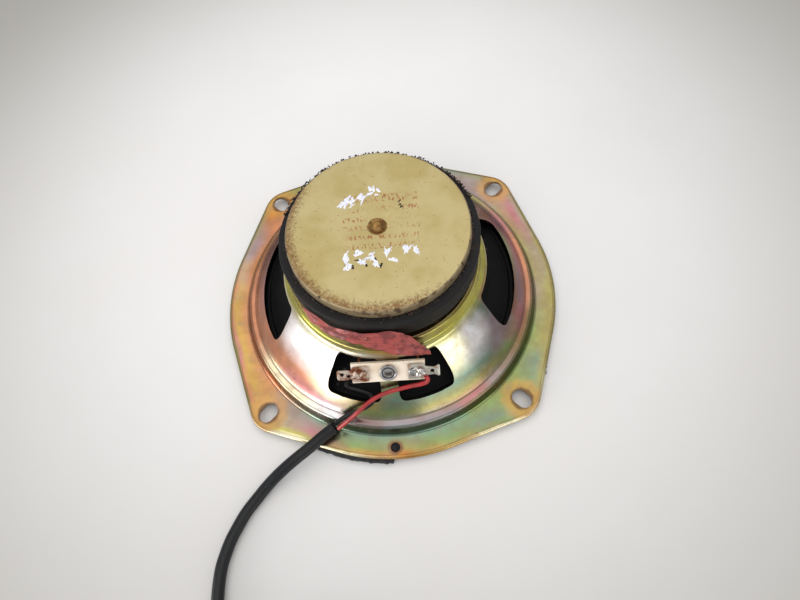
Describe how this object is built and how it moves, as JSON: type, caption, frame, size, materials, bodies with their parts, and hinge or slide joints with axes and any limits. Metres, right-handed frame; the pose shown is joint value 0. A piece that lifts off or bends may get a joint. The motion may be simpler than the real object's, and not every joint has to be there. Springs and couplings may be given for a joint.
{
  "type": "car loudspeaker",
  "caption": "Round car loudspeaker, face down: pressed steel basket with flange, ring magnet, paper cone and sheathed two-core lead.",
  "frame": {"origin": "centre of the front gasket's face, on the surface that the loudspeaker lies on face down", "axes": "+Z along the cone's axis towards the magnet, -Y towards the terminals, +X to the right seen with the terminals nearest"},
  "size_m": [0.135, 0.2504, 0.054],
  "materials": {
    "basket_zinc": "yellow zinc chromate over pressed steel, iridescent, satin",
    "foam": "dark grey foam strip",
    "motor_steel": "yellow zinc on turned steel, dull",
    "back_plate_steel": "aged yellow zinc with rust spots, dull",
    "ferrite": "dark fired ferrite",
    "former": "rolled kraft paper",
    "copper": "enamelled copper",
    "cone_paper": "black pressed paper pulp",
    "spider_cloth": "resin-treated woven cotton",
    "surround_cloth": "doped pleated cloth",
    "card": "dark grey board",
    "fibre": "off-white fibre board",
    "rivet_steel": "bright zinc-plated rivet",
    "tinned_brass": "tinned brass, stained",
    "solder": "bright soft solder",
    "tape": "red-brown tape, creased, half gloss",
    "red_pvc": "red PVC wire",
    "black_pvc": "black PVC, half gloss",
    "white_nylon": "natural nylon"
  },
  "bodies": {
    "root": {"basket": "basket_zinc", "front_gasket": "foam", "front_plate": "motor_steel", "magnet": "ferrite", "back_plate": "back_plate_steel", "pole_piece": "motor_steel", "plate_stake_1": "basket_zinc", "plate_stake_2": "basket_zinc", "plate_stake_3": "basket_zinc", "plate_stake_4": "basket_zinc", "spider": "spider_cloth", "surround": "surround_cloth", "landing_ring": "card", "terminal_board": "fibre", "terminal_rivet": "rivet_steel", "lug_left": "tinned_brass", "lug_right": "tinned_brass", "lug_rivet_left": "rivet_steel", "lug_rivet_right": "rivet_steel", "solder_left": "solder", "solder_right": "solder", "tinsel_lead_left": "copper", "tinsel_lead_right": "copper", "sealing_tape": "tape", "red_wire": "red_pvc", "black_wire": "black_pvc", "cable_sheath": "black_pvc", "cable_coil": "black_pvc", "cable_tail": "black_pvc", "connector_housing": "white_nylon", "connector_contact_1": "tinned_brass", "connector_contact_2": "tinned_brass"},
    "moving_cone": {"cone": "cone_paper", "dust_cap": "cone_paper", "voice_coil_former": "former", "voice_coil_winding": "copper", "cone_eyelet_left": "copper", "cone_eyelet_right": "copper", "coil_lead_left": "copper", "coil_lead_right": "copper"}
  },
  "joints": [
    {"name": "cone_travel", "type": "slide", "parent": "root", "child": "moving_cone", "axis": [0, 0, 1], "range_m": [-0.0025, 0.0025], "stiffness_N_per_m": 1500, "deforming": ["surround", "spider", "tinsel_lead_left", "tinsel_lead_right"]}
  ]
}
